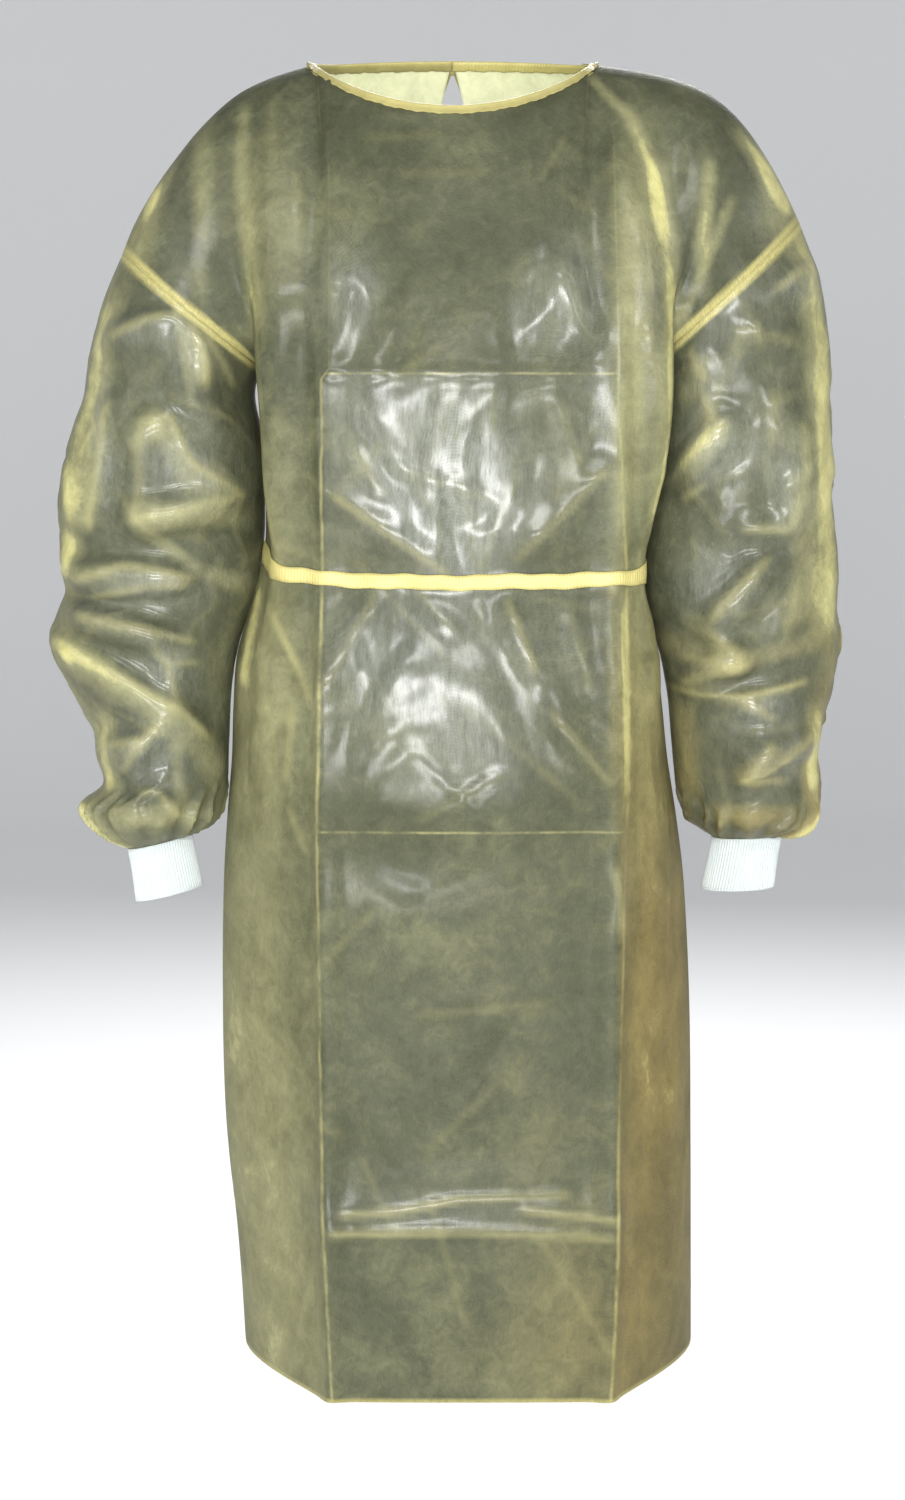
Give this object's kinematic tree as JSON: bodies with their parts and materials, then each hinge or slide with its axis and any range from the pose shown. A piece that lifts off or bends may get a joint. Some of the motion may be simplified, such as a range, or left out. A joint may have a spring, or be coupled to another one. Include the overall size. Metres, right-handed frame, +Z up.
{
  "type": "isolation gown",
  "caption": "Long-sleeved open-back isolation gown in its worn shape, with a bound neckline tied behind, a narrow tape belt, gathered sleeve ends and knitted cuffs.",
  "frame": {"origin": "midway between the two points where the neckline meets the shoulder seams, where the gown is held up", "axes": "+Z up, the front of the gown faces -Y, the wearer's left is +X"},
  "size_m": [0.7053, 0.3535, 1.1644],
  "materials": {
    "coated_cloth": "thin yellow non-woven cloth with a glossy film, grey-olive where it is seen through",
    "tape": "matt yellow woven tape",
    "knit": "matt white ribbed knit"
  },
  "bodies": {
    "root": {"front": "coated_cloth", "back_left": "coated_cloth", "back_right": "coated_cloth", "sleeve_left": "coated_cloth", "sleeve_right": "coated_cloth", "cuff_left": "knit", "cuff_right": "knit", "neck_binding": "tape", "neck_knot": "tape", "neck_tail_left": "tape", "neck_tail_right": "tape", "belt": "tape", "belt_knot": "tape", "belt_tail_left": "tape", "belt_tail_right": "tape"}
  },
  "joints": []
}
